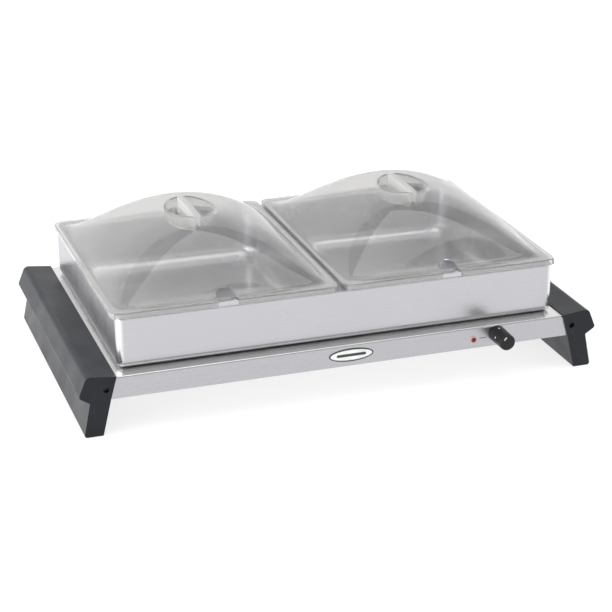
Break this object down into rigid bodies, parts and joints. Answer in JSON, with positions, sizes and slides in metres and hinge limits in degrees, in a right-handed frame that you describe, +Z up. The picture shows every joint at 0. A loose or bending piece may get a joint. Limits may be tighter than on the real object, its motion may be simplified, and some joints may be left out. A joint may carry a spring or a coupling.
{
  "type": "electric buffet server",
  "caption": "Electric buffet server: heated stainless tray on moulded ends, lift-off frame, half-size pans and clear domed lids with finger wells and spoon notches.",
  "frame": {"origin": "on the table, under the middle of the overall box; the casing's own centre is 11.25 mm behind it, because the knob stands further out in front than the cord gland does behind", "axes": "+Z up, -Y towards the user (knob side), +X to the user's right"},
  "size_m": [0.63, 0.4026, 0.1951],
  "materials": {
    "badge_green": "enamel",
    "badge_white": "enamel",
    "black_moulding": "satin moulded",
    "black_screws": "black oxide",
    "brass_parts": "turned",
    "brown_plastic": "phenolic",
    "casing_steel": "brushed stainless",
    "ceramic_wool": "felted fibre",
    "clear_lid": "clear polycarbonate",
    "dark_print": "printed mark",
    "element_sheath": "dull oxidised sheath",
    "frame_steel": "brushed stainless",
    "knob_black": "satin moulded",
    "lamp_black": "moulded",
    "lamp_flange": "pale translucent",
    "pan_steel": "satin stainless",
    "plain_steel": "mill finish",
    "plate_aluminium": "mill finish",
    "plated_steel": "zinc plated",
    "red_lens": "translucent red",
    "white_marks": "filled marks",
    "white_plastic": "ceramic-filled",
    "wire_cover": "glass-fibre sleeved"
  },
  "bodies": {
    "base": {"badge_motif": "badge_green", "badge_plate": "badge_white", "badge_rim": "badge_green", "bottom_cover": "plain_steel", "bracket_rivets": "plated_steel", "cord_gland": "lamp_black", "cover_screws": "plated_steel", "earth_nut": "brass_parts", "earth_stud": "plated_steel", "element_clips": "plain_steel", "end_bracket_left": "plated_steel", "end_bracket_right": "plated_steel", "end_piece_left": "black_moulding", "end_piece_right": "black_moulding", "end_screws": "black_screws", "gland_nut": "lamp_black", "heat_plate": "plate_aluminium", "heating_element_left": "element_sheath", "heating_element_right": "element_sheath", "index_mark": "dark_print", "insulation_pad": "ceramic_wool", "lamp_bezel": "lamp_flange", "lamp_body": "lamp_black", "lamp_lead_live": "wire_cover", "lamp_lead_neutral": "wire_cover", "lamp_lens": "red_lens", "reflector": "plate_aluminium", "terminal_block": "white_plastic", "terminal_screws": "brass_parts", "thermal_cutout": "brown_plastic", "thermostat_body": "brown_plastic", "thermostat_nut": "plated_steel", "tray_shell": "casing_steel", "wire_element_link": "wire_cover", "wire_live": "wire_cover", "wire_neutral": "wire_cover", "wire_return": "wire_cover", "wire_to_cutout": "wire_cover", "wire_to_element": "wire_cover", "wire_to_thermostat": "wire_cover"},
    "knob": {"knob": "knob_black", "knob_marks": "white_marks", "thermostat_shaft": "plated_steel"},
    "frame": {"pan_frame": "frame_steel", "divider_bar": "frame_steel"},
    "pan_left": {"pan_left": "pan_steel"},
    "pan_right": {"pan_right": "pan_steel"},
    "lid_left": {"lid_left": "clear_lid"},
    "lid_right": {"lid_right": "clear_lid"}
  },
  "joints": [
    {"name": "knob_turn", "type": "hinge", "parent": "base", "child": "knob", "pos_m": [0.187, -0.17975, 0.0572], "axis": [0, 1, 0], "range_deg": [0, 270]},
    {"name": "frame_lift", "type": "slide", "parent": "base", "child": "frame", "axis": [0, 0, 1], "range_m": [0, 0.08]},
    {"name": "pan_left_lift", "type": "slide", "parent": "frame", "child": "pan_left", "axis": [0, 0, 1], "range_m": [0, 0.075]},
    {"name": "pan_right_lift", "type": "slide", "parent": "frame", "child": "pan_right", "axis": [0, 0, 1], "range_m": [0, 0.075]},
    {"name": "lid_left_lift", "type": "slide", "parent": "pan_left", "child": "lid_left", "axis": [0, 0, 1], "range_m": [0, 0.09]},
    {"name": "lid_right_lift", "type": "slide", "parent": "pan_right", "child": "lid_right", "axis": [0, 0, 1], "range_m": [0, 0.09]}
  ]
}
